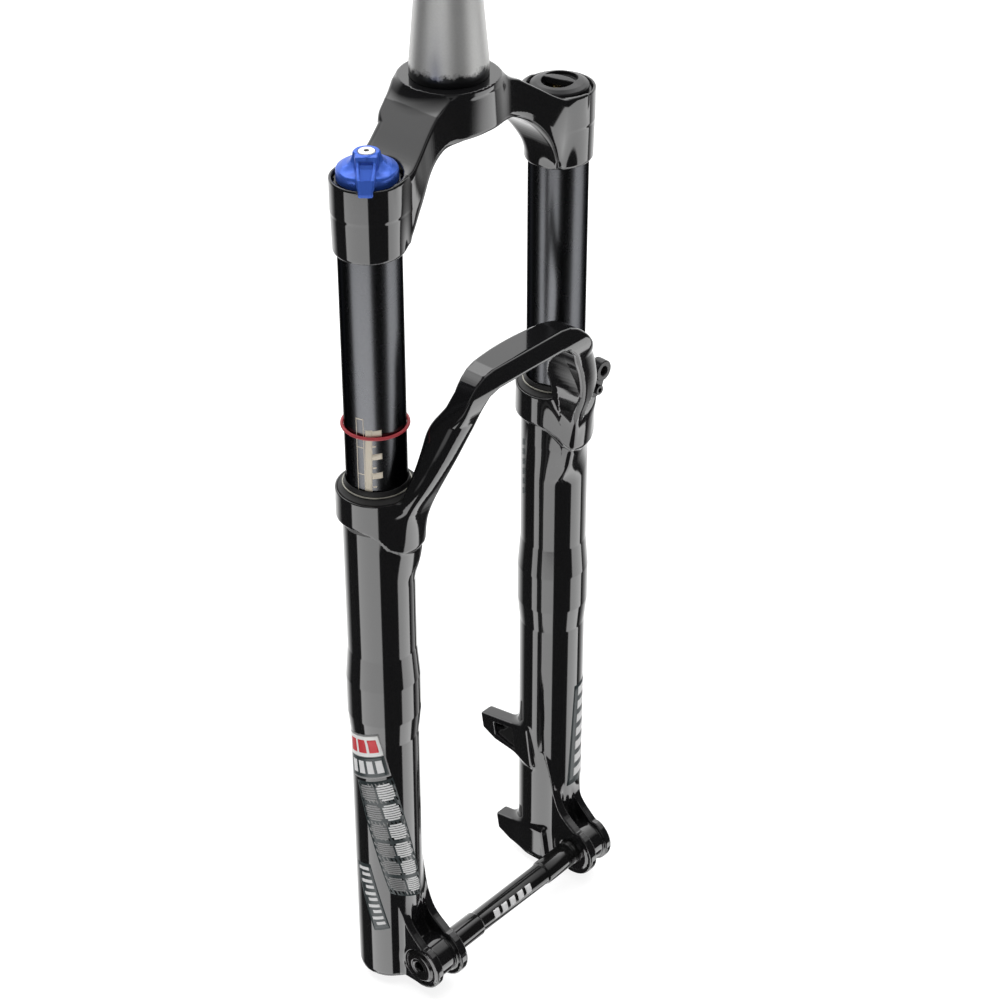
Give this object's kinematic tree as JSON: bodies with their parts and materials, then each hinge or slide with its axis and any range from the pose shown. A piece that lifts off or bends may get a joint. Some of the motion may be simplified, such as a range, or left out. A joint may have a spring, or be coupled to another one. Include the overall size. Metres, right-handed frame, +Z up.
{
  "type": "suspension fork",
  "caption": "Air-sprung bicycle suspension fork with a straight steerer, two coated stanchions, one-piece lower legs with an arch, disc brake posts and a through axle.",
  "frame": {"origin": "centre of the crown race seat, on the steerer axis at the top face of the crown collar", "axes": "+Z up along the steerer, +X forward in the riding direction, +Y to the rider's left"},
  "size_m": [0.0873, 0.1844, 0.8039],
  "materials": {
    "crown_paint": "gloss black paint",
    "casting_paint": "gloss black paint",
    "steerer_steel": "satin turned",
    "stanchion_coat": "dark satin coating",
    "seal_head_metal": "machined",
    "seal_rubber": "matt",
    "wiper_rubber": "matt black",
    "garter_steel": "bright",
    "foam": "oiled open foam",
    "bushing_liner": "coated liner",
    "black_cap": "black anodised",
    "small_steel": "satin",
    "black_bolt": "black oxide",
    "damper_metal": "machined",
    "shaft_steel": "polished",
    "glide_plastic": "matt",
    "bumper_rubber": "matt",
    "air_piston_plastic": "matt",
    "valve_brass": "nickel dulled",
    "token_plastic": "moulded",
    "cover_plastic": "fine matt black",
    "knob_blue": "blue anodised",
    "knob_screw_silver": "bright",
    "rebound_red": "red anodised",
    "guide_plastic": "matt black",
    "sag_ring_red": "dull red",
    "axle_black": "satin black",
    "washer_metal": "bare"
  },
  "bodies": {
    "upper_unit": {"steerer_tube": "steerer_steel", "crown": "crown_paint", "stanchion_right": "stanchion_coat", "stanchion_left": "stanchion_coat", "seal_head_retaining_rings": "small_steel", "damper_seal_head": "seal_head_metal", "air_seal_head": "seal_head_metal", "seal_head_o_rings": "seal_rubber", "shaft_seals": "seal_rubber", "damper_top_cap": "black_cap", "detent_spring": "small_steel", "detent_ball": "small_steel", "compression_tube": "damper_metal", "compression_piston": "damper_metal", "compression_piston_seal": "seal_rubber", "air_top_cap": "black_cap", "top_cap_o_rings": "seal_rubber", "air_valve_body": "valve_brass", "air_valve_core": "valve_brass", "volume_tokens": "token_plastic"},
    "lower_unit": {"lower_casting": "casting_paint", "dust_wipers": "wiper_rubber", "garter_springs": "garter_steel", "foam_rings": "foam", "upper_bushings": "bushing_liner", "lower_bushings": "bushing_liner", "damper_shaft": "shaft_steel", "rebound_piston": "damper_metal", "rebound_glide_ring": "glide_plastic", "rebound_shim": "small_steel", "rebound_piston_nut": "small_steel", "top_out_bumper": "bumper_rubber", "air_shaft": "shaft_steel", "air_piston": "air_piston_plastic", "air_piston_seal": "seal_rubber", "negative_bumper": "bumper_rubber", "bottom_out_bumper": "bumper_rubber", "crush_washers": "washer_metal", "damper_foot_bolt": "black_bolt", "air_foot_bolt": "black_bolt", "hose_guide": "guide_plastic", "hose_guide_bolt": "black_bolt"},
    "compression_adjuster": {"compression_knob": "knob_blue", "knob_screw": "knob_screw_silver", "compression_spindle": "damper_metal"},
    "rebound_adjuster": {"rebound_knob": "rebound_red", "rebound_rod": "damper_metal"},
    "air_cover": {"air_cap": "cover_plastic"},
    "sag_ring": {"sag_o_ring": "sag_ring_red"},
    "axle_unit": {"axle": "axle_black"}
  },
  "joints": [
    {"name": "fork_travel", "type": "slide", "parent": "upper_unit", "child": "lower_unit", "axis": [0, 0, 1], "range_m": [0, 0.12], "stiffness_N_per_m": 3500, "springref_m": -0.008},
    {"name": "sag_ring_slide", "type": "slide", "parent": "upper_unit", "child": "sag_ring", "axis": [0, 0, 1], "range_m": [0, 0.094]},
    {"name": "compression_turn", "type": "hinge", "parent": "upper_unit", "child": "compression_adjuster", "pos_m": [0.0115, -0.07, -0.03], "axis": [0, 0, 1], "range_deg": [-90, 0]},
    {"name": "rebound_turn", "type": "hinge", "parent": "lower_unit", "child": "rebound_adjuster", "pos_m": [0.0115, -0.07, -0.53], "axis": [0, 0, 1], "range_deg": [-270, 270]},
    {"name": "air_cap_turn", "type": "hinge", "parent": "upper_unit", "child": "air_cover", "pos_m": [0.0115, 0.07, -0.03], "axis": [0, 0, 1], "range_deg": [0, 540]},
    {"name": "axle_withdraw", "type": "slide", "parent": "lower_unit", "child": "axle_unit", "axis": [0, -1, 0], "range_m": [0, 0.16]}
  ],
  "couplings": [
    {"joint": "sag_ring_slide", "follows": "fork_travel", "ratio": 0.78}
  ]
}
